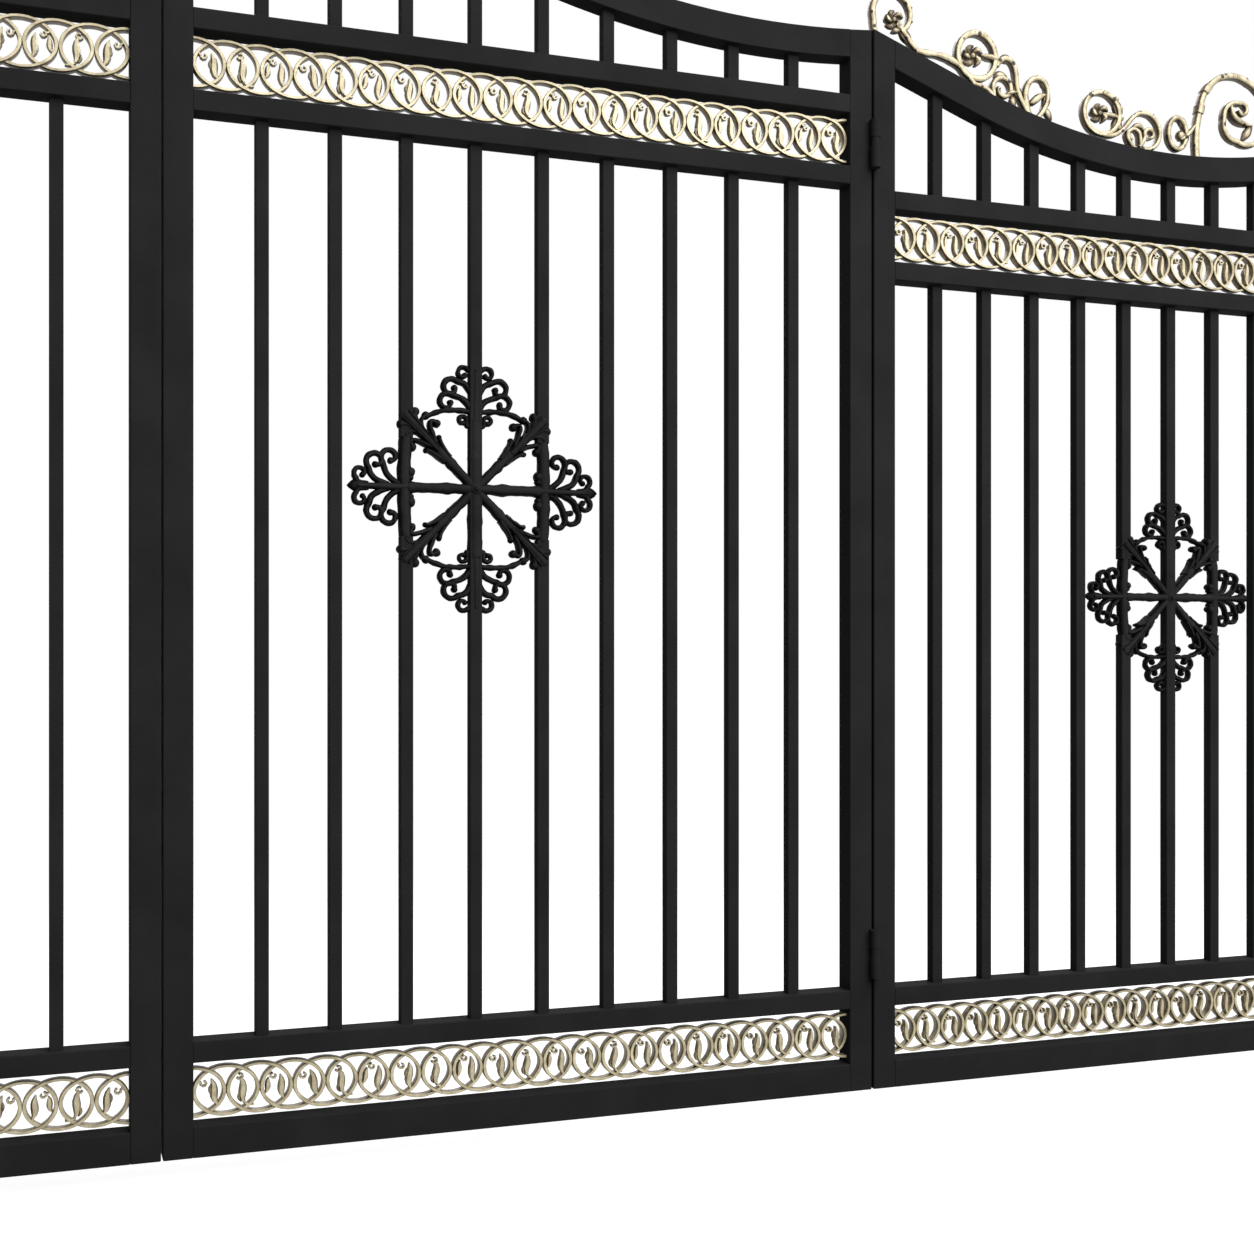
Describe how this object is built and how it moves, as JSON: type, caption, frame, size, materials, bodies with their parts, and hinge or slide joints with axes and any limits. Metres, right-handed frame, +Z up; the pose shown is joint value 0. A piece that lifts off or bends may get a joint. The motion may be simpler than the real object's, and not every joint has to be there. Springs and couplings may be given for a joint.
{
  "type": "wrought iron driveway gate",
  "caption": "Folding driveway gate of square tube with curved top rails, gilded interlaced ring bands, cast medallions on the bars and a scrolled crest, hung between posts.",
  "frame": {"origin": "middle of the left post's foot, on the ground", "axes": "+X along the closed gate to the right as seen from the front, +Y away from the viewer (inwards), +Z up"},
  "size_m": [6.059, 0.1275, 2.673],
  "materials": {
    "black_paint": "satin black paint",
    "gold_paint": "antique pale gold paint with dark crevices"
  },
  "bodies": {
    "posts": {"left_post": "black_paint", "right_post": "black_paint", "left_post_cap": "black_paint", "right_post_cap": "black_paint", "post_hinge_pins": "black_paint"},
    "right_outer": {"right_outer_stiles": "black_paint", "right_outer_rails": "black_paint", "right_outer_top_rail": "black_paint", "right_outer_bars": "black_paint", "right_outer_lower_rings": "gold_paint", "right_outer_upper_rings": "gold_paint", "right_outer_medallion": "black_paint", "right_outer_crest_ends": "gold_paint", "right_outer_crest_middle": "gold_paint", "right_outer_hinge_pins": "black_paint", "right_outer_knuckles": "black_paint"},
    "right_inner": {"right_inner_stiles": "black_paint", "right_inner_rails": "black_paint", "right_inner_top_rail": "black_paint", "right_inner_bars": "black_paint", "right_inner_lower_rings": "gold_paint", "right_inner_upper_rings": "gold_paint", "right_inner_medallion": "black_paint", "right_inner_knuckles": "black_paint"},
    "left_outer": {"left_outer_stiles": "black_paint", "left_outer_rails": "black_paint", "left_outer_top_rail": "black_paint", "left_outer_bars": "black_paint", "left_outer_lower_rings": "gold_paint", "left_outer_upper_rings": "gold_paint", "left_outer_medallion": "black_paint", "left_outer_crest_ends": "gold_paint", "left_outer_crest_middle": "gold_paint", "left_outer_hinge_pins": "black_paint", "left_outer_knuckles": "black_paint"},
    "left_inner": {"left_inner_stiles": "black_paint", "left_inner_rails": "black_paint", "left_inner_top_rail": "black_paint", "left_inner_bars": "black_paint", "left_inner_lower_rings": "gold_paint", "left_inner_upper_rings": "gold_paint", "left_inner_medallion": "black_paint", "left_inner_knuckles": "black_paint"}
  },
  "joints": [
    {"name": "right_outer_swing", "type": "hinge", "parent": "posts", "child": "right_outer", "pos_m": [5.8945, 0.061, 0], "axis": [0, 0, -1], "range_deg": [0, 90]},
    {"name": "right_inner_fold", "type": "hinge", "parent": "right_outer", "child": "right_inner", "pos_m": [4.3845, -0.011, 0], "axis": [0, 0, 1], "range_deg": [0, 175]},
    {"name": "left_outer_swing", "type": "hinge", "parent": "posts", "child": "left_outer", "pos_m": [0.0525, 0.061, 0], "axis": [0, 0, 1], "range_deg": [0, 90]},
    {"name": "left_inner_fold", "type": "hinge", "parent": "left_outer", "child": "left_inner", "pos_m": [1.5625, -0.011, 0], "axis": [0, 0, -1], "range_deg": [0, 175]}
  ]
}
